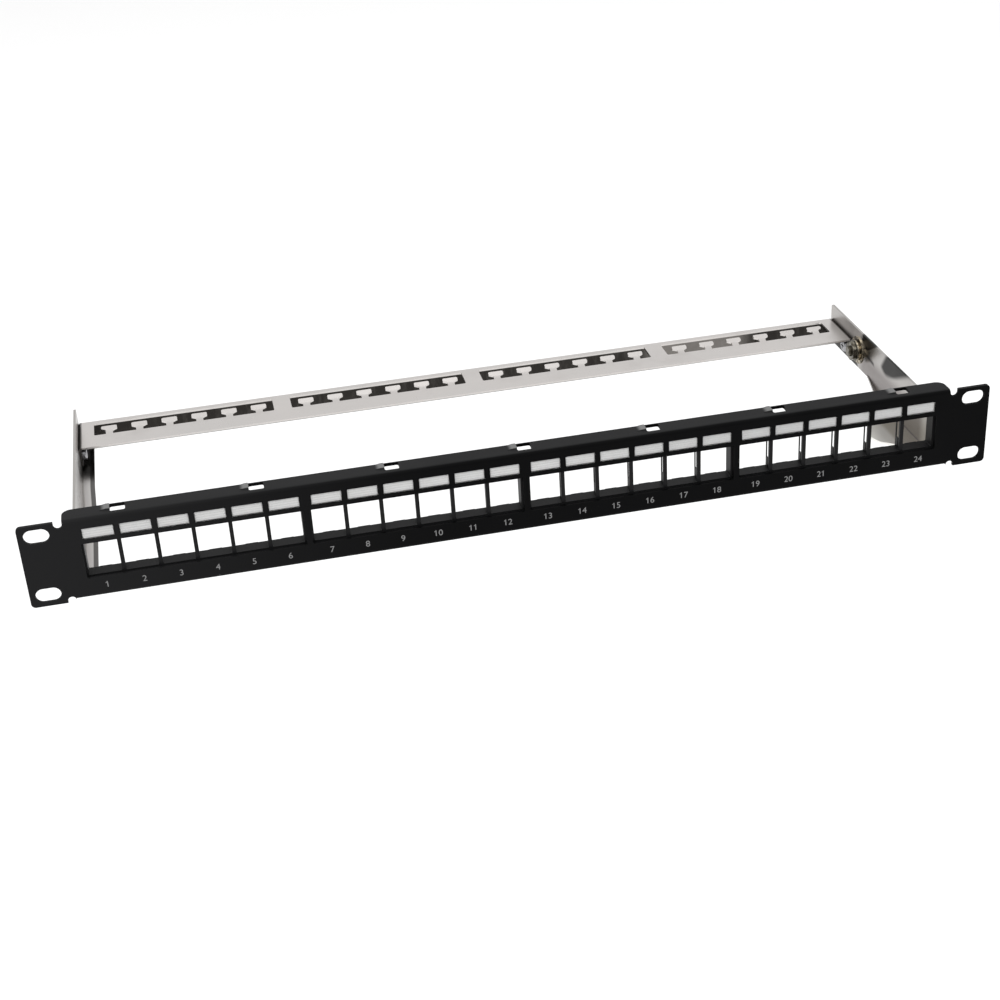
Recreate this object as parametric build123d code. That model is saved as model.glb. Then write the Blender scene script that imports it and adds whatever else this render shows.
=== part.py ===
from build123d import *
import os

# Rack patch panel: a 24 port blank panel, one rack unit high, with a rear cable bar on two side arms.
# Frame: +X to the right of the front face, +Y to the rear, +Z up. The ears' rear faces, which meet the
# rack rails, are at Y = 0, and the origin is at the centre of the four rack slots.

# ---- driving dimensions, mm ----
SHEET = 1.6                  # front panel steel
FACE = -SHEET                # Y of the front face
PANEL_WIDTH = 482.6
EAR_HEIGHT = 43.5
RACK_X = 465.1               # slot centres across
RACK_Z = 31.75               # slot centres up
SLOT_LENGTH = 12.0
SLOT_WIDTH = 7.4
EAR_CORNER = 2.2
PAST = 1.0                   # how far cutting shapes run past a face
WELD = 0.2                   # how far joined shapes run into each other

BODY_WIDTH = 440.4
BODY_TOP = 21.75
BODY_BOTTOM = -20.8
FLANGE_DEPTH = 11.2          # front face to the flanges' rear edges
BEND_OUT = 2.2
BEND_IN = 0.4
FLANGE_CORNER = 4.5
NOTCH_WIDTH = 4.0
NOTCH_TOP = 18.1             # lowest point of the upper relief notch
NOTCH_BOTTOM = -18.7

GROUPS = 4
PORTS = 6                    # ports in a group
PORT_PITCH = 17.43
GROUP_PITCH = 107.43
WINDOW_W = 14.87             # label window
WINDOW_LOW = 10.8
WINDOW_HIGH = 16.4
PORT_W = 15.5
PORT_LOW = -9.7
PORT_HIGH = 7.6
OPENING_LOW = -10.4          # port opening cut in the steel, one for each group
OPENING_HIGH = 8.45
OPENING_SIDE = 1.3           # its overhang past the outer label windows
OPENING_CORNER = 0.8
WINDOW_CORNER = 0.4

FRAME_SIDE = 2.5             # port frame's overhang past the outer label windows
FRAME_LOW = -12.1
FRAME_HIGH = 18.6
FRAME_DEPTH = 9.2            # front face to the frame's rear edge
TRAY_DEPTH = 4.4             # front face to the label tray's rear face
TRAY_LOW = 9.4
FRAME_CORNER = 1.0
PORT_CORNER = 0.5
RECESS = 0.7                 # partitions' front edges behind the steel
BAR_DEEP = 1.5               # front bar of a partition, front to rear
POST_W = 0.5                 # rear post and lower web of a partition
POST_DEEP = 0.8
WEB_FRONT = 4.6
WEB_HIGH = 5.4               # lower web's height over the ports' floor
RIB_W = 8.0                  # jack rib over each port, at the rear
RIB_T = 1.5
RIB_DEEP = 1.6
CATCH_W = 6.0                # jack catch under each port, at the rear
CATCH_T = 1.4
CATCH_DEEP = 1.2
RIB_GAP = 0.3                # ribs' and catches' distance from the port
CATCH_GAP = 0.5
TRAY_SIDE = 1.0              # tray's end walls
COVER_LOW = 9.6
COVER_HIGH = 17.4
COVER_T = 0.9
COVER_CLEAR = 0.1
LENS_CLEAR = 0.08
LENS_BACK = 0.2              # lens faces behind the steel's front face
LENS_WALL = 0.5              # lens thickness in front of the label
LENS_SIDE = 0.2              # its side walls
LENS_CORNER = 0.35
LABEL_CLEAR = 0.04
INSERT_T = 0.25

HOOKS = 7
HOOK_PITCH = 65.2
HOOK_SHIFT = 1.2             # hook row's offset to the right
HOOK_SLOT_L = 7.2
HOOK_SLOT_FRONT = 3.9        # front face to the hook slots' front edge
HOOK_SLOT_REAR = 10.6
HOOK_SLOT_CORNER = 0.9
TONGUE_FRONT = 5.8           # front face to the tongue's front edge
TONGUE_REAR = 10.6
TONGUE_L = 5.0
TONGUE_FLAT = 1.6
TONGUE_RISE = 0.7
TONGUE_ROOT = 0.3            # tongue's depth into the flange

ARM_IN = 215.7               # arms' inner faces from the middle
ARM_T = 1.3
ARM_TOP = 10.9
ARM_LOW = -11.0
ARM_HEEL = -18.7             # lower edge near the panel
ARM_END = 146.4              # rear end
ARM_CORNER = 1.2
HEEL_REAR = 92.0
HEEL_FRONT = 64.0
LIP_IN = 209.3               # left arm's lip reaches this far in
FOOT_IN = 198.5
FOOT_LOW = -17.9
FOOT_HIGH = -12.3
GUSSET_IN = 190.0            # inside the gusset's innermost point
GUSSET = ((213.4, 74.0), (197.5, 44.0), (193.8, 34.0), (196.5, 27.0), (204.0, 21.0),
          (206.0, 18.0), (206.0, 0.0))   # right gusset's inner edge in plan, from the rear

BAR_T = 1.2
BAR_TOP = 2.7
BAR_FRONT = 113.4
BAR_REAR = 146.4
BAR_DROP = 10.4              # height of the bent-down rear and end flanges
BAR_BEND = 1.8
TIE_WINDOW_L = 96.5
TIE_WINDOW_PITCH = 106.1
TIE_FRONT = 126.9
TIE_REAR = 141.6
TIE_PITCH = 16.04
TIE_CORNER = 1.0
TIE_STEM_W = 3.8
TIE_HEAD_W = 8.3
TIE_HEAD_L = 2.1
TIE_FLARE = 1.2              # length over which the stem widens into the head
TIE_LENGTH = 6.3
TIE_HEAD_CORNER = 0.8
TIE_ANGLE = 17.0
TIE_ROOT = 0.6

STUD_R = 1.25                # M2.5 weld studs
STUD_X = (202.6, 209.6)
STUD_Z = -14.8
STUD_END = 6.0
STUD_NUT_AF = 5.0
STUD_NUT_T = 2.0
STUD_WASHER_R = 2.4
STUD_WASHER_T = 0.5
STUD_CLEAR = 0.2
STUD_TIP = 0.25

BAR_SCREW_Y = (119.8, 139.6)
BAR_SCREW_Z = -3.4
BAR_SCREW_R = 2.0            # M4, threaded into the arms and flush with their outer faces
BAR_HEAD_R = 3.7
BAR_HEAD_T = 2.4
BAR_HEAD_ROUND = 1.3
CROSS_L = 3.6                # cross recess
CROSS_W = 0.8
CROSS_DEEP = 1.2
HOLE_CLEAR = 0.25

EARTH_Y = 99.3
EARTH_Z = 2.4
EARTH_R = 3.0                # M6
EARTH_HEAD_AF = 10.0
EARTH_HEAD_T = 2.3
EARTH_WASHER_R = 7.8
EARTH_WASHER_T = 1.2
EARTH_LOCK_R = 5.2
EARTH_LOCK_T = 0.8
EARTH_SMALL_R = 6.0
EARTH_WASHER_CLEAR = 0.2
EARTH_NUT_AF = 10.0
EARTH_NUT_T = 2.2
EARTH_TIP = 1.5              # thread showing past the outer nut
EARTH_TIP_CHAMFER = 0.5

HEX_CROWN = 1.12             # crown cone's radius over half the flats
HEX_CHAMFER = 0.18           # its chamfer over the length

REAR = ARM_IN + ARM_T        # arms' outer faces
GROUP_SPAN = (PORTS - 1) * PORT_PITCH + WINDOW_W
GROUP_X = [(g - (GROUPS - 1) / 2) * GROUP_PITCH for g in range(GROUPS)]
PORT_DX = [(p - (PORTS - 1) / 2) * PORT_PITCH for p in range(PORTS)]


def block(x0, x1, y0, y1, z0, z1):
    """Box between two corners."""
    return Pos((x0 + x1) / 2, (y0 + y1) / 2, (z0 + z1) / 2) * Box(x1 - x0, y1 - y0, z1 - z0)


def soft_block(x0, x1, y0, y1, z0, z1, radius):
    """Box whose edges along Y are rounded."""
    shape = block(x0, x1, y0, y1, z0, z1)
    return fillet(shape.edges().filter_by(Axis.Y), radius)


def rod(axis, centre, radius, start, end):
    """Cylinder along X or Y from start to end; centre gives its other two coordinates."""
    length = end - start
    middle = (start + end) / 2
    if axis == "X":
        return Pos(middle, centre[0], centre[1]) * Rot(0, 90, 0) * Cylinder(radius, length)
    return Pos(centre[0], middle, centre[1]) * Rot(90, 0, 0) * Cylinder(radius, length)


def hexagon(axis, centre, across_flats, start, end):
    """Hexagonal prism along X or Y with its end corners taken off."""
    length = end - start
    prism = extrude(RegularPolygon(across_flats / 2, 6, major_radius=False), length)
    crown = Pos(0, 0, length / 2) * Cylinder(across_flats / 2 * HEX_CROWN, length)
    prism = prism & bevel_rims(crown, length * HEX_CHAMFER)
    if axis == "X":
        return Pos(start, centre[0], centre[1]) * Rot(0, 90, 0) * prism
    return Pos(centre[0], start, centre[1]) * Rot(-90, 0, 0) * prism


def bevel_rims(shape, amount):
    """Chamfer on a cylinder's two end rims."""
    return chamfer(shape.edges().filter_by(GeomType.CIRCLE), amount)


def slot_cut(x, z, length, width, y0, y1):
    """Stadium-shaped through cut with its long way along X."""
    half = (length - width) / 2
    cut = block(x - half, x + half, y0, y1, z - width / 2, z + width / 2)
    cut += rod("Y", (x - half, z), width / 2, y0, y1)
    return cut + rod("Y", (x + half, z), width / 2, y0, y1)


def label_spans():
    """Left and right edge of the label windows' row in each group."""
    return [(x - GROUP_SPAN / 2, x + GROUP_SPAN / 2) for x in GROUP_X]


# ---- front panel ----
def ear(side):
    """Rack ear with its relief notches; side is +1 or -1."""
    inner = BODY_WIDTH / 2
    outer = PANEL_WIDTH / 2
    half = EAR_HEIGHT / 2
    shape = block(inner, outer, FACE, 0, -half, half)
    corners = shape.edges().filter_by(Axis.Y).group_by(Axis.X)[-1]
    shape = fillet(corners, EAR_CORNER)
    middle = inner + NOTCH_WIDTH / 2
    radius = NOTCH_WIDTH / 2
    for tip, way in ((NOTCH_TOP, 1), (NOTCH_BOTTOM, -1)):
        centre = tip + way * radius
        low, high = sorted((centre, way * (half + PAST)))
        shape -= rod("Y", (middle, centre), radius, FACE - PAST, PAST)
        shape -= block(inner, inner + NOTCH_WIDTH, FACE - PAST, PAST, low, high)
    for way in (1, -1):
        shape -= slot_cut(RACK_X / 2, way * RACK_Z / 2, SLOT_LENGTH, SLOT_WIDTH, FACE - PAST, PAST)
    return shape if side > 0 else mirror(shape, Plane.YZ)


def folded_body():
    """Face plate with the top and bottom flanges folded to the rear."""
    half = BODY_WIDTH / 2
    back = FACE + FLANGE_DEPTH
    outer = block(-half, half, FACE, back, BODY_BOTTOM, BODY_TOP)
    outer = fillet(outer.edges().filter_by(Axis.X).group_by(Axis.Y)[0], BEND_OUT)
    outer = fillet(outer.edges().filter_by(Axis.Z).group_by(Axis.Y)[-1], FLANGE_CORNER)
    inner = block(-half - PAST, half + PAST, 0, back + PAST, BODY_BOTTOM + SHEET, BODY_TOP - SHEET)
    inner = fillet(inner.edges().filter_by(Axis.X).group_by(Axis.Y)[0], BEND_IN)
    return outer - inner


def hook_slots(body):
    """Slots in the top flange, each with a lanced tongue raised beside it."""
    for i in range(HOOKS):
        x = (i - (HOOKS - 1) / 2) * HOOK_PITCH + HOOK_SHIFT
        x1 = x - HOOK_SLOT_L / 2
        cut = block(x1, x1 + HOOK_SLOT_L, FACE + HOOK_SLOT_FRONT, FACE + HOOK_SLOT_REAR,
                    BODY_TOP - SHEET - PAST, BODY_TOP + PAST)
        body -= fillet(cut.edges().filter_by(Axis.Z), HOOK_SLOT_CORNER)
        x0 = x1 - TONGUE_L
        root = BODY_TOP - TONGUE_ROOT
        crest = BODY_TOP + TONGUE_RISE
        side = Polyline((x0, root), (x1, root), (x1, crest), (x1 - TONGUE_FLAT, crest), (x0, BODY_TOP),
                        close=True)
        face = Plane.XZ.offset(-FACE - TONGUE_FRONT) * make_face(side)
        body += extrude(face, TONGUE_FRONT - TONGUE_REAR)
    return body


def make_front_panel():
    body = folded_body()
    for left, right in label_spans():
        body -= soft_block(left - OPENING_SIDE, right + OPENING_SIDE, FACE - PAST, PAST,
                           OPENING_LOW, OPENING_HIGH, OPENING_CORNER)
    for x in GROUP_X:
        for dx in PORT_DX:
            body -= soft_block(x + dx - WINDOW_W / 2, x + dx + WINDOW_W / 2, FACE - PAST, PAST,
                               WINDOW_LOW, WINDOW_HIGH, WINDOW_CORNER)
    body = hook_slots(body)
    return body + ear(1) + ear(-1)


# ---- plastic port frame with its label tray ----
def partition_backs(x, back):
    """Rear post and lower web of each partition in a frame centred on x."""
    backs = []
    for left, right in zip(PORT_DX, PORT_DX[1:]):
        middle = x + (left + right) / 2
        x0, x1 = middle - POST_W / 2, middle + POST_W / 2
        backs.append(block(x0, x1, back - POST_DEEP, back, PORT_LOW - WELD, PORT_HIGH + WELD))
        backs.append(block(x0, x1, WEB_FRONT, back, PORT_LOW - WELD, PORT_LOW + WEB_HIGH))
    return backs


def make_port_frame(x):
    left, right = x - GROUP_SPAN / 2, x + GROUP_SPAN / 2
    x0, x1 = left - FRAME_SIDE, right + FRAME_SIDE
    back = FACE + FRAME_DEPTH
    shape = block(x0, x1, 0, back, FRAME_LOW, TRAY_LOW)
    shape += block(x0, x1, 0, FACE + TRAY_DEPTH, TRAY_LOW, FRAME_HIGH)
    shape = fillet(shape.edges().filter_by(Axis.Y).group_by(Axis.Z)[0], FRAME_CORNER)
    shape -= block(left - OPENING_SIDE, right + OPENING_SIDE, -PAST, RECESS, OPENING_LOW, OPENING_HIGH)
    shape -= block(x0 + TRAY_SIDE, x1 - TRAY_SIDE, -PAST, COVER_T + INSERT_T,
                   COVER_LOW - COVER_CLEAR / 2, COVER_HIGH + COVER_CLEAR / 2)
    for dx in PORT_DX:
        shape -= soft_block(x + dx - PORT_W / 2, x + dx + PORT_W / 2, -PAST, back + PAST,
                            PORT_LOW, PORT_HIGH, PORT_CORNER)
    shape -= block(x + PORT_DX[0], x + PORT_DX[-1], RECESS + BAR_DEEP, back + PAST, PORT_LOW, PORT_HIGH)
    for part in partition_backs(x, back):
        shape += part
    for dx in PORT_DX:
        low = PORT_HIGH + RIB_GAP
        high = PORT_LOW - CATCH_GAP
        shape += block(x + dx - RIB_W / 2, x + dx + RIB_W / 2, back, back + RIB_DEEP, low, low + RIB_T)
        shape += block(x + dx - CATCH_W / 2, x + dx + CATCH_W / 2, back, back + CATCH_DEEP,
                       high - CATCH_T, high)
    return shape


def lens_box(x, inset, front, rear):
    """Box inside one label window, drawn in by inset on all four sides."""
    half = WINDOW_W / 2 - inset
    return block(x - half, x + half, front, rear, WINDOW_LOW + inset, WINDOW_HIGH - inset)


def make_label_cover(x):
    """Clear strip behind the steel with a hollow raised lens in each label window."""
    left, right = x - GROUP_SPAN / 2, x + GROUP_SPAN / 2
    side = FRAME_SIDE - TRAY_SIDE - COVER_CLEAR
    front = FACE + LENS_BACK
    shape = block(left - side, right + side, 0, COVER_T, COVER_LOW, COVER_HIGH)
    for dx in PORT_DX:
        lens = lens_box(x + dx, LENS_CLEAR, front, WELD)
        shape += fillet(lens.edges().filter_by(Axis.Y), LENS_CORNER)
    for dx in PORT_DX:
        shape -= lens_box(x + dx, LENS_CLEAR + LENS_SIDE, front + LENS_WALL, COVER_T + PAST)
    return shape


def make_label_insert(x):
    """White label strip behind the cover, with a raised label in each lens."""
    left, right = x - GROUP_SPAN / 2, x + GROUP_SPAN / 2
    side = FRAME_SIDE - TRAY_SIDE - 2 * COVER_CLEAR
    front = FACE + LENS_BACK + LENS_WALL + LABEL_CLEAR
    inset = LENS_CLEAR + LENS_SIDE + LABEL_CLEAR
    shape = block(left - side, right + side, COVER_T, COVER_T + INSERT_T,
                  COVER_LOW + COVER_CLEAR, COVER_HIGH - COVER_CLEAR)
    for dx in PORT_DX:
        shape += lens_box(x + dx, inset, front, COVER_T + INSERT_T / 2)
    return shape


# ---- side arms ----
def lower_edge(lift):
    """Points along an arm's lower edge from the rear end to the panel, raised by lift."""
    return [(ARM_END, ARM_LOW + lift), (HEEL_REAR, ARM_LOW + lift),
            (HEEL_FRONT, ARM_HEEL + lift), (0, ARM_HEEL + lift)]


def slab(points, x0, x1):
    """Closed outline in the YZ plane extruded from x0 to x1."""
    face = make_face(Polyline(*points, close=True))
    return Pos(x0, 0, 0) * extrude(Plane.YZ * face, x1 - x0)


def arm_plate():
    outline = [(0, ARM_TOP), (ARM_END, ARM_TOP)] + lower_edge(0)
    plate = slab(outline, ARM_IN, REAR)
    plate = fillet(plate.edges().filter_by(Axis.X).group_by(Axis.Y)[-1], ARM_CORNER)
    for y in BAR_SCREW_Y:
        plate -= rod("X", (y, BAR_SCREW_Z), BAR_SCREW_R, ARM_IN - PAST, REAR + PAST)
    return plate


def arm_foot():
    """Foot that lies on the panel's rear face, with holes for the two weld studs."""
    foot = block(FOOT_IN, REAR, 0, ARM_T, FOOT_LOW, FOOT_HIGH)
    for x in STUD_X:
        foot -= rod("Y", (x, STUD_Z), STUD_R + STUD_CLEAR, -PAST, ARM_T + PAST)
    return foot


def lip_strip(reach):
    """Horizontal lip along the arm's lower edge, from the outer face in to reach."""
    strip = lower_edge(0) + lower_edge(ARM_T)[::-1]
    return slab(strip, reach, REAR)


def make_left_arm():
    arm = arm_plate() + lip_strip(LIP_IN) + arm_foot()
    return mirror(arm, Plane.YZ)


def make_right_arm():
    """Arm that carries the earth terminal; its lip is a wide gusset near the panel."""
    plan = Polyline((REAR, HEEL_REAR), (ARM_IN, HEEL_REAR), *GUSSET, (REAR, 0), close=True)
    column = Pos(0, 0, ARM_HEEL - PAST) * extrude(make_face(plan), ARM_LOW + ARM_T - ARM_HEEL + 2 * PAST)
    arm = arm_plate() + (lip_strip(GUSSET_IN) & column) + arm_foot()
    return arm - rod("X", (EARTH_Y, EARTH_Z), EARTH_R + HOLE_CLEAR, ARM_IN - PAST, REAR + PAST)


# ---- cable bar ----
def bar_sheet():
    """Top sheet with rear and end flanges folded down."""
    low = BAR_TOP - BAR_DROP
    outer = block(-ARM_IN, ARM_IN, BAR_FRONT, BAR_REAR, low, BAR_TOP)
    top_rear = outer.edges().filter_by(Axis.X).group_by(Axis.Z)[-1].sort_by(Axis.Y)[-1]
    top_ends = outer.edges().filter_by(Axis.Y).group_by(Axis.Z)[-1]
    outer = fillet([top_rear] + list(top_ends), BAR_BEND)
    inner = block(-ARM_IN + BAR_T, ARM_IN - BAR_T, BAR_FRONT - PAST, BAR_REAR - BAR_T,
                  low - PAST, BAR_TOP - BAR_T)
    inner_rear = inner.edges().filter_by(Axis.X).group_by(Axis.Z)[-1].sort_by(Axis.Y)[-1]
    inner_ends = inner.edges().filter_by(Axis.Y).group_by(Axis.Z)[-1]
    return outer - fillet([inner_rear] + list(inner_ends), BAR_BEND - BAR_T)


def tie_tab(x):
    """T-shaped cable tie tab, bent up from the window's front edge."""
    stem, head = TIE_STEM_W / 2, TIE_HEAD_W / 2
    neck = TIE_LENGTH - TIE_HEAD_L
    half = [(stem, -TIE_ROOT), (stem, neck - TIE_FLARE), (head, neck), (head, TIE_LENGTH)]
    outline = Polyline(*half, *[(-px, py) for px, py in reversed(half)], close=True)
    tab = Pos(0, 0, -BAR_T) * extrude(make_face(outline), BAR_T)
    tab = fillet(tab.edges().filter_by(Axis.Z).group_by(Axis.Y)[-1], TIE_HEAD_CORNER)
    return Pos(x, TIE_FRONT, BAR_TOP) * Rot(TIE_ANGLE, 0, 0) * tab


def make_cable_bar():
    bar = bar_sheet()
    for w in range(GROUPS):
        x = (w - (GROUPS - 1) / 2) * TIE_WINDOW_PITCH
        cut = block(x - TIE_WINDOW_L / 2, x + TIE_WINDOW_L / 2, TIE_FRONT, TIE_REAR,
                    BAR_TOP - BAR_T - PAST, BAR_TOP + PAST)
        bar -= fillet(cut.edges().filter_by(Axis.Z), TIE_CORNER)
        for t in range(PORTS):
            bar += tie_tab(x + (t - (PORTS - 1) / 2) * TIE_PITCH)
    for y in BAR_SCREW_Y:
        bar -= rod("X", (y, BAR_SCREW_Z), BAR_SCREW_R + HOLE_CLEAR, -ARM_IN - PAST, ARM_IN + PAST)
    return bar


# ---- fasteners ----
def both_sides(shapes):
    """The shapes and their mirror images, as one list of solids."""
    shapes = list(shapes)
    return shapes + [mirror(s, Plane.YZ) for s in shapes]


def make_panel_studs():
    """Weld studs with flush discs on the panel's rear face."""
    return both_sides(bevel_rims(rod("Y", (x, STUD_Z), STUD_R, 0, STUD_END), STUD_TIP) for x in STUD_X)


def make_stud_washers():
    end = ARM_T + STUD_WASHER_T
    return both_sides(rod("Y", (x, STUD_Z), STUD_WASHER_R, ARM_T, end)
                      - rod("Y", (x, STUD_Z), STUD_R + STUD_CLEAR, ARM_T - PAST, end + PAST) for x in STUD_X)


def make_stud_nuts():
    start = ARM_T + STUD_WASHER_T
    end = start + STUD_NUT_T
    return both_sides(hexagon("Y", (x, STUD_Z), STUD_NUT_AF, start, end)
                      - rod("Y", (x, STUD_Z), STUD_R, start - PAST, end + PAST) for x in STUD_X)


def bar_screw(y):
    """Pan head screw with a cross recess, from the bar's end flange into the arm."""
    seat = ARM_IN - BAR_T
    head = rod("X", (y, BAR_SCREW_Z), BAR_HEAD_R, seat - BAR_HEAD_T, seat)
    crown = seat - BAR_HEAD_T
    head = fillet(head.edges().filter_by(GeomType.CIRCLE).group_by(Axis.X)[0], BAR_HEAD_ROUND)
    shank = rod("X", (y, BAR_SCREW_Z), BAR_SCREW_R, seat - WELD, REAR)
    for w, h in ((CROSS_W, CROSS_L), (CROSS_L, CROSS_W)):
        head -= block(crown - PAST, crown + CROSS_DEEP, y - w / 2, y + w / 2,
                      BAR_SCREW_Z - h / 2, BAR_SCREW_Z + h / 2)
    return head + shank


def make_bar_screws():
    return both_sides(bar_screw(y) for y in BAR_SCREW_Y)


EARTH_STACK = []             # from the arm inwards: nut, washer, lock washer, washer, nut
edge = ARM_IN
for thick in (EARTH_NUT_T, EARTH_WASHER_T, EARTH_LOCK_T, EARTH_WASHER_T, EARTH_NUT_T):
    EARTH_STACK.append((edge - thick, edge))
    edge -= thick
EARTH_END = edge - EARTH_TIP


def earth_bore(shape, radius):
    return shape - rod("X", (EARTH_Y, EARTH_Z), radius, EARTH_END - PAST, REAR + PAST)


def make_earth_bolt():
    head = hexagon("X", (EARTH_Y, EARTH_Z), EARTH_HEAD_AF, REAR, REAR + EARTH_HEAD_T)
    shank = rod("X", (EARTH_Y, EARTH_Z), EARTH_R, EARTH_END, REAR + WELD)
    tip = shank.edges().filter_by(GeomType.CIRCLE).group_by(Axis.X)[0]
    return head + chamfer(tip, EARTH_TIP_CHAMFER)


def make_earth_washers():
    """A large and a small flat washer with a lock washer between them."""
    radii = (EARTH_WASHER_R, EARTH_LOCK_R, EARTH_SMALL_R)
    return [earth_bore(rod("X", (EARTH_Y, EARTH_Z), radius, *span), EARTH_R + EARTH_WASHER_CLEAR)
            for radius, span in zip(radii, EARTH_STACK[1:4])]


def make_earth_nuts():
    return [earth_bore(hexagon("X", (EARTH_Y, EARTH_Z), EARTH_NUT_AF, *span), EARTH_R)
            for span in (EARTH_STACK[0], EARTH_STACK[4])]


def save(name, shape):
    """One STEP file for each node; a list becomes separate solids in one file."""
    if isinstance(shape, list):
        solids = [s for item in shape for s in item.solids()]
        shape = Compound(children=solids)
    export_step(shape, f"parts/{name}.step")


os.makedirs("parts", exist_ok=True)
save("front_panel", make_front_panel())
for number, centre_x in enumerate(GROUP_X, 1):
    save(f"port_frame_{number}", make_port_frame(centre_x))
    save(f"label_cover_{number}", make_label_cover(centre_x))
    save(f"label_insert_{number}", make_label_insert(centre_x))
save("left_arm", make_left_arm())
save("right_arm", make_right_arm())
save("cable_bar", make_cable_bar())
save("panel_studs", make_panel_studs())
save("stud_washers", make_stud_washers())
save("stud_nuts", make_stud_nuts())
save("bar_screws", make_bar_screws())
save("earth_bolt", make_earth_bolt())
save("earth_washers", make_earth_washers())
save("earth_nuts", make_earth_nuts())
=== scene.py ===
import math

import bpy
from mathutils import Matrix, Vector


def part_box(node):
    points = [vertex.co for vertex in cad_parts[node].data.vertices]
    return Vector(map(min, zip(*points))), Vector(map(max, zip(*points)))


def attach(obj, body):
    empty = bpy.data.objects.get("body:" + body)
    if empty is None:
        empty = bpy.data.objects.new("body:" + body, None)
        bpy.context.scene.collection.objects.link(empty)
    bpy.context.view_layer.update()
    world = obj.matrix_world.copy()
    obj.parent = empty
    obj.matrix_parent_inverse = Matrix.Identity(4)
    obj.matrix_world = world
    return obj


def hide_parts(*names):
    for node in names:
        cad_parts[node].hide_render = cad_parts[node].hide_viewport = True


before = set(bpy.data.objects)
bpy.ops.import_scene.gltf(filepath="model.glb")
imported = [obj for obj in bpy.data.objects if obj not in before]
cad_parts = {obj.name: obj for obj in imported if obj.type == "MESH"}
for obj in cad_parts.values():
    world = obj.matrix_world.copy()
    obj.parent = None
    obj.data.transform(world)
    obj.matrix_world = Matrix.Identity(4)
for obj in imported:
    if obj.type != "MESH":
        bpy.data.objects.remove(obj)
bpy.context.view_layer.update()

# Looks for a rack patch panel: powder-coated front, four plastic port frames with paper labels,
# nickel-plated side arms and cable bar, brass earth terminal, zinc-plated fasteners.

MM = 0.001

panel_low, panel_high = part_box("front_panel")
FACE_Y = panel_low.y                    # front face of the steel
TONGUE_TOP = panel_high.z               # top of the tongues raised from the upper flange
TONGUE_RISE = 0.7 * MM
FLANGE_TOP = TONGUE_TOP - TONGUE_RISE
ARM_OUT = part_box("right_arm")[1].x      # arms' outer faces from the middle
ARM_SHEET = 1.3 * MM
ARM_IN = ARM_OUT - ARM_SHEET            # their inner faces
GROUPS = 4
PORTS = 6                               # ports in a group
PORT_PITCH = 17.43 * MM
GROUP_PITCH = 107.43 * MM
BAR_SHEET = 1.2 * MM
BAR_TOP = 2.7 * MM                      # height of the cable bar's upper face

NUMBER_HEIGHT = 3.3 * MM
NUMBER_Z = -14.85 * MM                  # middle of the printed numbers
INK_FILM = 0.03 * MM                    # thickness of the print, half of it in front of the steel
CAP_HEIGHT = 0.72                       # height of a digit over the type size
FLAG_TILT = math.radians(-38)           # flag at the top of a printed 1

# ---- camera ----
CAMERA_PLACE = Vector((-0.1461, -0.7285, 0.4045))
CAMERA_HEADING = math.radians(10.34)    # to the right of straight ahead
CAMERA_DOWN = math.radians(28.80)
CAMERA_ROLL = math.radians(-3.63)
CAMERA_LENS = 62.2

FLOOR_DROP = 0.30                       # floor below the panel's lowest edge
FLOOR_SIZE = 24.0
AIR_LIGHT = 0.95
SOFTBOXES = (("key_softbox", (-1.4, -1.5, 2.2), 1.6, 24.0),       # name, place, size, watts
             ("overhead_softbox", (0.3, -0.3, 2.6), 3.0, 30.0))


def place_camera():
    bpy.ops.object.camera_add(location=CAMERA_PLACE)
    camera = bpy.context.object
    turn = (Matrix.Rotation(-CAMERA_HEADING, 4, "Z")
            @ Matrix.Rotation(math.pi / 2 - CAMERA_DOWN, 4, "X")
            @ Matrix.Rotation(CAMERA_ROLL, 4, "Z"))
    camera.rotation_euler = turn.to_euler()
    camera.data.lens = CAMERA_LENS
    camera.data.sensor_width = 36.0
    camera.data.clip_start = 0.01
    camera.data.clip_end = 60.0
    bpy.context.scene.camera = camera


# ---- shader building ----
class Term:
    """A socket in a material's tree. Sums, products and quotients of terms add Math nodes."""

    def __init__(self, tree, socket):
        self.tree = tree
        self.socket = socket

    def node(self, kind, settings=None, inputs=None, output=0):
        """Adds any node: its settings first, then the values or links of its sockets."""
        made = self.tree.nodes.new(kind)
        for name, value in (settings or {}).items():
            if name == "stops":
                fill_ramp(made.color_ramp, value)
            else:
                setattr(made, name, value)
        for name, value in (inputs or {}).items():
            if isinstance(value, Term):
                self.tree.links.new(value.socket, made.inputs[name])
            else:
                made.inputs[name].default_value = value
        return Term(self.tree, made.outputs[output])

    def maths(self, operation, *values):
        return self.node("ShaderNodeMath", {"operation": operation}, dict(enumerate(values)))

    def __add__(self, other):
        return self.maths("ADD", self, other)

    __radd__ = __add__

    def __sub__(self, other):
        return self.maths("SUBTRACT", self, other)

    def __rsub__(self, other):
        return self.maths("SUBTRACT", other, self)

    def __mul__(self, other):
        return self.maths("MULTIPLY", self, other)

    __rmul__ = __mul__

    def __truediv__(self, other):
        return self.maths("DIVIDE", self, other)

    def __abs__(self):
        return self.maths("ABSOLUTE", self)

    def clipped(self):
        return self.node("ShaderNodeClamp", None, {"Value": self})

    def rise(self, low, high):
        """0 below low, 1 above high, smooth between."""
        return self.node("ShaderNodeMapRange", {"interpolation_type": "SMOOTHSTEP"},
                         {"Value": self, "From Min": low, "From Max": high})

    def between(self, low, high, soft):
        """1 from low to high, fading out over soft on both sides."""
        return self.rise(low - soft, low) * (1 - self.rise(high, high + soft))

    def mix(self, first, second):
        """Colour mix from first to second by this term."""
        return self.node("ShaderNodeMix", {"data_type": "RGBA"}, {0: self, 6: first, 7: second}, 2)


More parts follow.
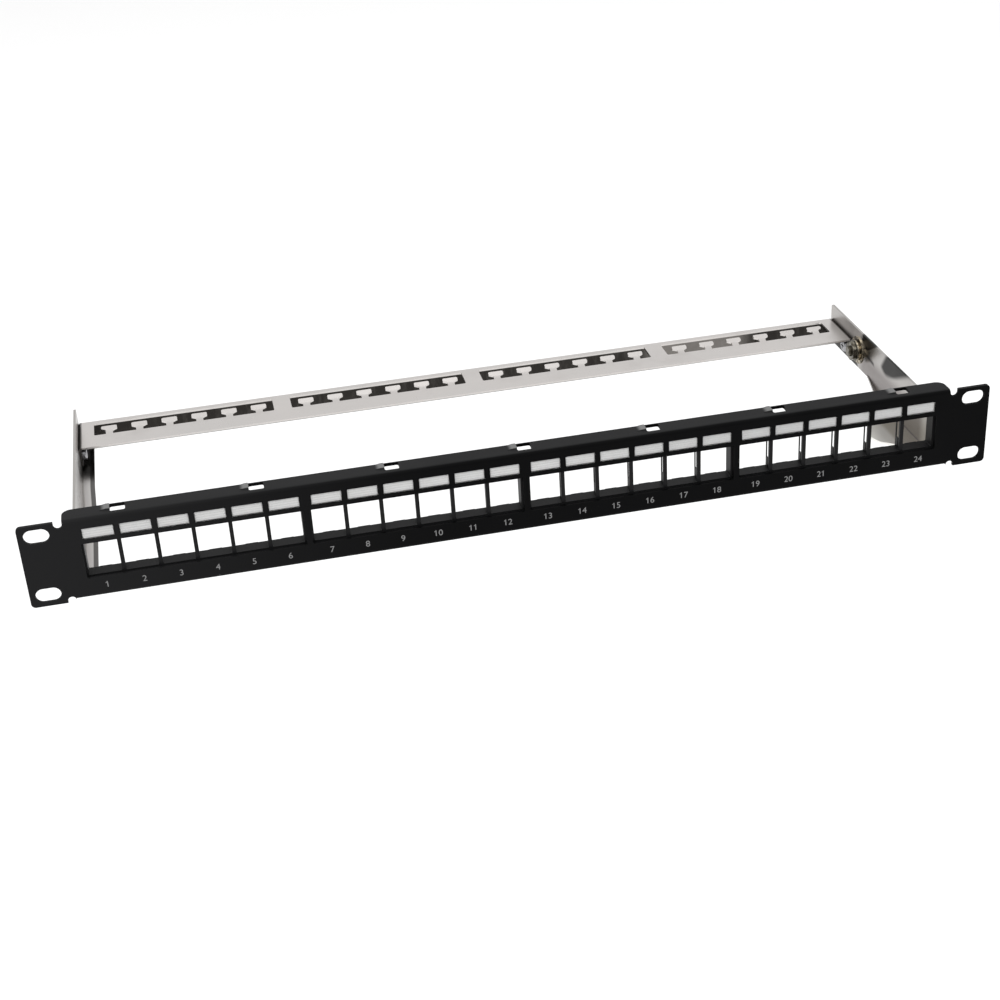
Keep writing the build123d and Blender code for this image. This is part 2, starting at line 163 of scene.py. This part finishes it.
def fill_ramp(ramp, stops):
    while len(ramp.elements) < len(stops):
        ramp.elements.new(1.0)
    for element, (place, value) in zip(ramp.elements, stops):
        element.position = place
        element.color = (value, value, value, 1.0)


class Finish:
    """A material with one Principled shader. Uniform values are set on the shader's own sockets."""

    def __init__(self, name, **uniform):
        self.material = bpy.data.materials.new(name)
        self.material.use_nodes = True
        self.tree = self.material.node_tree
        self.shader = self.tree.nodes["Principled BSDF"]
        for key, value in uniform.items():
            self.shader.inputs[key.replace("_", " ")].default_value = value
        start = Term(self.tree, None)
        place = start.node("ShaderNodeTexCoord", None, None, "Object")
        self.place = place
        self.x = place.node("ShaderNodeSeparateXYZ", None, {0: place}, 0)
        self.y = Term(self.tree, self.x.socket.node.outputs[1])
        self.z = Term(self.tree, self.x.socket.node.outputs[2])

    def noise(self, size, stretch=(1, 1, 1), detail=3.0, rough=0.55):
        """Noise with blobs about size metres across, longer along an axis with a larger stretch."""
        scale = tuple(1.0 / (size * s) for s in stretch)
        spot = self.place.node("ShaderNodeMapping", None, {"Vector": self.place, "Scale": scale})
        return self.place.node("ShaderNodeTexNoise", None,
                               {"Vector": spot, "Scale": 1.0, "Detail": detail, "Roughness": rough}, 0)

    def patch(self, soft, *corners):
        """1 inside a convex outline of (y, z) corners in mm, anticlockwise, fading out over soft."""
        inside = 1.0
        for (y0, z0), (y1, z1) in zip(corners, corners[1:] + corners[:1]):
            length = math.hypot(y1 - y0, z1 - z0)
            out_y, out_z = (z1 - z0) / length, (y0 - y1) / length
            past = self.y * out_y + self.z * out_z - (y0 * out_y + z0 * out_z) * MM
            inside = (1 - past.rise(-soft * MM, soft * MM)) * inside
        return inside

    def feed(self, **terms):
        for key, term in terms.items():
            self.tree.links.new(term.socket, self.shader.inputs[key.replace("_", " ")])

    def relief(self, height, depth):
        """Bump of the given depth in metres on the whole surface."""
        self.feed(Normal=height.node("ShaderNodeBump", None,
                                     {"Height": height, "Distance": depth, "Strength": 1.0}))


# ---- finishes ----
def powder_coat():
    """Black powder coat: fine orange peel, greyer on the left, painted light on the upper flange's top face
    and a painted highlight on the raised tongues.
    """
    coat = Finish("black_powder_coat", Specular_IOR_Level=0.035)
    peel = coat.noise(0.9 * MM, detail=2.0)
    grain = coat.noise(0.22 * MM, detail=1.0)
    cloud = coat.noise(38 * MM, detail=3.0)
    plain = cloud.mix((0.0012, 0.0012, 0.0014, 1), (0.0030, 0.0030, 0.0032, 1))
    left = 1 - coat.x.rise(-260 * MM, -20 * MM)
    toned = (left * 0.9).mix(plain, (0.0135, 0.0135, 0.014, 1))
    # painted light: the upper flange's upward top face, tongues included, is made paler as if lit from
    # above, varied by the cloud noise
    painted_top_light = coat.z.rise(FLANGE_TOP - 0.4 * MM, FLANGE_TOP) * (0.6 + cloud * 0.6)
    toned = painted_top_light.mix(toned, (0.017, 0.017, 0.0175, 1))
    # painted highlight: the raised tongues' upper faces are made grey where their slope would catch the
    # light
    tongue_highlight = coat.z.rise(FLANGE_TOP + 0.08 * MM, TONGUE_TOP - 0.1 * MM)
    coat.feed(Base_Color=tongue_highlight.mix(toned, (0.15, 0.15, 0.15, 1)),
              Roughness=0.40 + cloud * 0.08 + grain * 0.05)
    coat.relief(peel * 0.7 + grain * 0.3, 0.03 * MM)
    return coat.material


def black_plastic():
    """Moulded black plastic with a faint spark-eroded grain."""
    plastic = Finish("black_moulded_plastic", Specular_IOR_Level=0.12)
    grain = plastic.noise(0.3 * MM, detail=2.0)
    flow = plastic.noise(14 * MM, stretch=(2.2, 1, 1))
    plastic.feed(Base_Color=flow.mix((0.004, 0.004, 0.0045, 1), (0.007, 0.007, 0.0075, 1)),
                 Roughness=0.42 + flow * 0.12)
    plastic.relief(grain, 0.012 * MM)
    return plastic.material


def clear_plastic():
    """Clear label cover: mostly see-through, with its own gloss and a few fine scuffs."""
    clear = Finish("clear_cover_plastic", Base_Color=(0.9, 0.9, 0.89, 1), Alpha=0.08)
    scuff = clear.noise(3.0 * MM, stretch=(6, 1, 0.5), detail=4.0)
    clear.feed(Roughness=0.08 + scuff.rise(0.5, 0.8) * 0.25)
    return clear.material


def label_paper():
    """Off-white label strip with faint ruled writing lines."""
    paper = Finish("ruled_label_strip", Specular_IOR_Level=0.2)
    fibre = paper.noise(0.5 * MM, stretch=(3, 1, 1), detail=4.0)
    row = paper.z / (1.25 * MM)
    rule = row.maths("FRACT", row).between(0.40, 0.58, 0.16)
    patch = paper.noise(5 * MM, detail=2.0)
    tone = rule * (0.25 + patch * 0.5)
    right = paper.x.rise(0.0, 120 * MM)
    sheet = right.mix(fibre.mix((0.49, 0.49, 0.49, 1), (0.55, 0.55, 0.545, 1)), (0.44, 0.44, 0.44, 1))
    paper.feed(Base_Color=tone.mix(sheet, (0.33, 0.33, 0.33, 1)), Roughness=0.75 + fibre * 0.15)
    paper.relief(fibre, 0.004 * MM)
    return paper.material


def sheet_metal(name, pale, deep, stain):
    """Nickel-plated sheet with rolling lines and a cloudy tint; returns the finish and its parts."""
    metal = Finish(name, Metallic=1.0)
    rolled = metal.noise(0.35 * MM, stretch=(1, 60, 1), detail=3.0)
    cloud = metal.noise(22 * MM, detail=4.0)
    tint = metal.noise(60 * MM, detail=1.0)
    colour = (cloud.rise(0.52, 0.78) * 0.35).mix(tint.mix(pale, deep), stain)
    metal.relief(rolled * 0.6 + metal.noise(4 * MM, detail=2.0) * 0.4, 0.006 * MM)
    return metal, colour, 0.20 + cloud * 0.14 + rolled * 0.06


def bar_sheet():
    """The cable bar: pale outside; inside its folds rougher, with painted shade and a paler painted band of
    light across part of it; painted shade where its ends meet the arms.
    """
    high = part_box("cable_bar")[1]
    metal, colour, rough = sheet_metal("nickel_plated_bar", (0.62, 0.585, 0.565, 1),
                                       (0.565, 0.55, 0.535, 1), (0.46, 0.43, 0.415, 1))
    side = abs(metal.x)
    fold = Vector((high.x, high.y, BAR_TOP)) - Vector((BAR_SHEET, BAR_SHEET, BAR_SHEET))
    # painted shade: the faces inside the bar's folds, which little light reaches, get a much darker colour
    inner = 1 - metal.y.rise(fold.y + 0.15 * MM, fold.y + 0.45 * MM)
    inner = inner * (1 - metal.z.rise(fold.z + 0.1 * MM, fold.z + 0.3 * MM))
    inner = inner * (1 - side.rise(fold.x + 0.15 * MM, fold.x + 0.45 * MM))
    # painted light: a paler band across those inner faces from x 112 to 156 mm, with faint streaks
    painted_lit_band = metal.x.between(112 * MM, 156 * MM, 14 * MM)
    streaks = metal.noise(3.0 * MM, stretch=(1, 1, 4), detail=4.0)
    inner_painted_shade = (painted_lit_band * 0.85 + streaks.rise(0.45, 0.75) * 0.12).mix((0.036, 0.033, 0.030, 1),
                                                               (0.24, 0.225, 0.21, 1))
    # painted shade: the bar's ends, where they meet the arms, are made much darker
    end_painted_shade = side.rise(high.x - 2.0 * MM, high.x - 1.4 * MM)
    shaded = (end_painted_shade * 0.85).mix(inner.mix(colour, inner_painted_shade), (0.06, 0.055, 0.052, 1))
    metal.feed(Base_Color=shaded, Roughness=rough + inner * 0.25)
    return metal.material


def arm_sheet():
    """The side arms: greyer than the bar; on the right one soft darker patches of painted reflection and
    shade, a pinkish painted reflection and a pale gusset of painted floor light; on the left one painted
    shade, a paler bottom flange of painted light and a darker inner edge of painted reflection.
    """
    metal, colour, rough = sheet_metal("nickel_plated_arms", (0.43, 0.415, 0.40, 1),
                                       (0.36, 0.345, 0.33, 1), (0.22, 0.21, 0.20, 1))
    right = metal.x.rise(188 * MM, 189 * MM)
    left = 1 - metal.x.rise(-201 * MM, -200 * MM)
    plate = metal.x.rise(ARM_IN - 0.4 * MM, ARM_IN - 0.1 * MM)
    behind_foot = metal.y.rise(1.4 * MM, 1.6 * MM)
    # painted reflections and shade: soft darker patches on the right arm's plate, standing for the bar and
    # other things mirrored in it and for the washers' shadow
    painted_reflection_shade = (metal.patch(0.8, (100.5, 12.0), (79.5, 12.0), (89.6, 5.6), (99.0, 1.6))
            + metal.patch(1.1, (95.2, 2.0), (83.6, 0.5), (82.8, -1.2), (94.0, -0.2))
            + metal.patch(1.8, (67.0, 13.0), (36.0, 13.0), (58.0, 2.0), (68.2, 0.0), (74.0, 2.7))
            + metal.patch(1.2, (141.0, -1.0), (109.0, -5.0), (104.0, -12.0), (141.0, -12.0)))
    painted_reflection_shade = painted_reflection_shade.clipped() * plate
    inside = metal.x.rise(-ARM_OUT + 0.4 * MM, -ARM_OUT + 0.8 * MM)
    shade = metal.patch(2.2, (149.0, 4.0), (92.0, 4.0), (94.0, -4.0), (109.0, -12.0), (149.0, -12.0))
    shade = shade * left * inside
    # painted reflection: a pinkish, darker cast over the lower front part of the right arm's plate
    pink_painted_reflection = metal.patch(4.0, (101.0, -0.5), (20.0, 0.5), (20.0, -19.0), (101.0, -19.0)) * plate * 0.8
    # painted light: the right arm's gusset is made pale as if lit by the floor, paler away from the plate
    gusset = right * (1 - metal.z.rise(-16.9 * MM, -16.4 * MM)) * behind_foot
    gusset = gusset * (1 - metal.x.rise(ARM_IN - 1.1 * MM, ARM_IN - 0.1 * MM))
    outer = metal.x.rise(203.5 * MM, 206.5 * MM)
    floor_glow = outer.mix((0.84, 0.83, 0.79, 1), (0.56, 0.54, 0.48, 1))
    # painted light: the left arm's bottom flange is made paler
    lip_painted_light = left * metal.x.rise(-ARM_IN + 0.4 * MM, -ARM_IN + 1.1 * MM)
    # painted reflection: a darker strip along the rounded inner edge of the left arm's bottom flange
    hem_painted_reflection = left * metal.x.rise(-211.8 * MM, -211.4 * MM) * behind_foot
    toned = gusset.mix(pink_painted_reflection.mix(colour, (0.155, 0.135, 0.130, 1)), floor_glow)
    toned = shade.mix((lip_painted_light * 0.8).mix(toned, (0.66, 0.64, 0.63, 1)), (0.15, 0.145, 0.138, 1))
    shaded = painted_reflection_shade.mix(toned, (0.018, 0.017, 0.016, 1))
    metal.feed(Base_Color=(hem_painted_reflection * 0.85).mix(shaded, (0.05, 0.048, 0.046, 1)),
               Roughness=rough + painted_reflection_shade * 0.15)
    return metal.material


def zinc_plate():
    metal = Finish("bright_zinc_plate", Metallic=1.0)
    cloud = metal.noise(1.8 * MM, detail=3.0)
    metal.feed(Base_Color=cloud.mix((0.40, 0.40, 0.41, 1), (0.24, 0.24, 0.25, 1)),
               Roughness=0.22 + cloud * 0.2)
    metal.relief(metal.noise(0.3 * MM), 0.008 * MM)
    return metal.material


def earth_brass():
    """Plain brass, turned faces, deeply tarnished in the hollows; paler by the arm and darker further in, as
    painted light and shade.
    """
    metal = Finish("plain_brass", Metallic=1.0)
    cloud = metal.noise(2.4 * MM, detail=4.0)
    tarnish = cloud.rise(0.42, 0.66)
    # painted light and shade: the washer by the arm is made paler as if lit, and the nuts further in darker
    # as if turned from the light
    bright = metal.x.rise(210.4 * MM, 210.9 * MM)
    painted_light_and_shade = bright.mix((0.15, 0.14, 0.115, 1), (0.36, 0.31, 0.23, 1))
    metal.feed(Base_Color=tarnish.mix(painted_light_and_shade, (0.055, 0.048, 0.036, 1)),
               Roughness=0.18 + tarnish * 0.25)
    metal.relief(metal.noise(0.25 * MM, detail=2.0), 0.008 * MM)
    return metal.material


def number_ink():
    ink = Finish("pale_print_ink", Roughness=0.6, Specular_IOR_Level=0.2)
    speck = ink.noise(0.25 * MM, detail=2.0)
    ink.feed(Base_Color=speck.mix((0.24, 0.24, 0.24, 1), (0.15, 0.15, 0.15, 1)))
    return ink.material


def pale_floor():
    floor = Finish("pale_floor", Roughness=0.8, Specular_IOR_Level=0.1)
    cloud = floor.noise(0.6, detail=2.0)
    floor.feed(Base_Color=cloud.mix((0.90, 0.90, 0.90, 1), (0.915, 0.915, 0.915, 1)))
    return floor.material


# ---- modelling helpers ----
def pick_only(piece):
    bpy.ops.object.select_all(action="DESELECT")
    piece.select_set(True)
    bpy.context.view_layer.objects.active = piece


def dress(piece, material, slot, *stands_for):
    """Gives a finished piece its material, and lets it move with the part."""
    piece.data.materials.clear()
    piece.data.materials.append(material)
    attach(piece, "root")
    if stands_for:
        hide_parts(*stands_for)


def bevelled_twin(node, name, width, segments=2, steepest=38.0):
    """Copy of a CAD node with its triangles joined into flat faces and its sharp edges broken."""
    piece = bpy.data.objects.new(name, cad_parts[node].data.copy())
    bpy.context.scene.collection.objects.link(piece)
    pick_only(piece)
    bpy.ops.object.mode_set(mode="EDIT")
    bpy.ops.mesh.select_all(action="SELECT")
    bpy.ops.mesh.customdata_custom_splitnormals_clear()
    bpy.ops.mesh.remove_doubles(threshold=0.004 * MM)
    bpy.ops.mesh.dissolve_limited(angle_limit=math.radians(0.3))
    bpy.ops.object.mode_set(mode="OBJECT")
    bpy.ops.object.shade_smooth()
    bevel = piece.modifiers.new("edge", "BEVEL")
    bevel.width = width
    bevel.segments = segments
    bevel.limit_method = "ANGLE"
    bevel.angle_limit = math.radians(steepest)
    bevel.harden_normals = True
    bpy.ops.object.modifier_apply(modifier="edge")
    return piece


# ---- pieces ----
def printed_digit(digit, x):
    """One digit as a thin mesh on the front face; a 1 gets a flag at its top."""
    bpy.ops.object.select_all(action="DESELECT")
    bpy.ops.object.text_add()
    text = bpy.context.object
    text.data.body = digit
    text.data.align_x = "CENTER"
    text.data.align_y = "CENTER"
    text.data.size = NUMBER_HEIGHT / CAP_HEIGHT
    text.data.extrude = INK_FILM / 2
    bpy.ops.object.convert(target="MESH")
    text.rotation_euler = (math.pi / 2, 0, 0)
    text.location = (x, FACE_Y, NUMBER_Z)
    bpy.ops.object.transform_apply(location=True, rotation=True, scale=True)
    if digit != "1":
        return [text]
    bpy.ops.object.select_all(action="DESELECT")
    bpy.ops.mesh.primitive_cube_add(size=1.0)
    flag = bpy.context.object
    flag.scale = (0.30 * NUMBER_HEIGHT, INK_FILM, 0.10 * NUMBER_HEIGHT)
    flag.rotation_euler = (0, FLAG_TILT, 0)
    flag.location = (x - 0.13 * NUMBER_HEIGHT, FACE_Y, NUMBER_Z + 0.36 * NUMBER_HEIGHT)
    bpy.ops.object.transform_apply(location=True, rotation=True, scale=True)
    return [text, flag]


def make_numbers(material):
    """Port numbers printed under the openings."""
    digit_pitch = 0.70 * NUMBER_HEIGHT
    parts = []
    for number in range(1, GROUPS * PORTS + 1):
        group, port = divmod(number - 1, PORTS)
        x = (group - (GROUPS - 1) / 2) * GROUP_PITCH + (port - (PORTS - 1) / 2) * PORT_PITCH
        digits = str(number)
        for place, digit in enumerate(digits):
            offset = (place - (len(digits) - 1) / 2) * digit_pitch
            parts += printed_digit(digit, x + offset)
    bpy.ops.object.select_all(action="DESELECT")
    for part in parts:
        part.select_set(True)
    bpy.context.view_layer.objects.active = parts[0]
    bpy.ops.object.join()
    numbers = bpy.context.object
    numbers.name = "port_numbers"
    dress(numbers, material, "label_paper")


def make_floor_and_light():
    low = panel_low.z - FLOOR_DROP
    bpy.ops.object.select_all(action="DESELECT")
    bpy.ops.mesh.primitive_plane_add(size=FLOOR_SIZE, location=(0, 0, low))
    floor = bpy.context.object
    floor.name = "studio_floor"
    bpy.ops.object.transform_apply(location=True, rotation=True, scale=True)
    floor.data.materials.append(pale_floor())
    world = bpy.data.worlds.new("studio_air")
    bpy.context.scene.world = world
    world.use_nodes = True
    air = world.node_tree.nodes["Background"]
    air.inputs["Color"].default_value = (1.0, 1.0, 1.0, 1)
    air.inputs["Strength"].default_value = AIR_LIGHT
    for name, place, size, power in SOFTBOXES:
        bpy.ops.object.light_add(type="AREA", location=place)
        lamp = bpy.context.object
        lamp.name = name
        lamp.data.size = size
        lamp.data.energy = power
        lamp.rotation_euler = (-Vector(place)).to_track_quat("-Z", "Y").to_euler()


def make_pieces():
    steel_black = powder_coat()
    plastic = black_plastic()
    clear = clear_plastic()
    paper = label_paper()
    arm_metal = arm_sheet()
    bar_metal = bar_sheet()
    zinc = zinc_plate()
    brass = earth_brass()
    dress(bevelled_twin("front_panel", "folded_front", 0.18 * MM), steel_black, "black_steel", "front_panel")
    for group in range(1, GROUPS + 1):
        dress(bevelled_twin(f"port_frame_{group}", f"port_housing_{group}", 0.12 * MM),
              plastic, "black_plastic", f"port_frame_{group}")
        dress(bevelled_twin(f"label_cover_{group}", f"label_lens_{group}", 0.1 * MM),
              clear, "clear_plastic", f"label_cover_{group}")
        dress(bevelled_twin(f"label_insert_{group}", f"label_strip_{group}", 0.05 * MM),
              paper, "label_paper", f"label_insert_{group}")
    dress(bevelled_twin("left_arm", "left_side_arm", 0.2 * MM), arm_metal, "bright_steel", "left_arm")
    dress(bevelled_twin("right_arm", "right_side_arm", 0.2 * MM), arm_metal, "bright_steel", "right_arm")
    dress(bevelled_twin("cable_bar", "rear_cable_bar", 0.15 * MM), bar_metal, "pale_steel", "cable_bar")
    for node in ("panel_studs", "stud_washers", "stud_nuts", "bar_screws"):
        dress(bevelled_twin(node, node + "_set", 0.1 * MM), zinc, "zinc_steel", node)
    for node in ("earth_bolt", "earth_washers", "earth_nuts"):
        dress(bevelled_twin(node, node + "_set", 0.12 * MM), brass, "brass", node)
    make_numbers(number_ink())


place_camera()
make_floor_and_light()
make_pieces()
bpy.context.scene.view_settings.view_transform = "Standard"
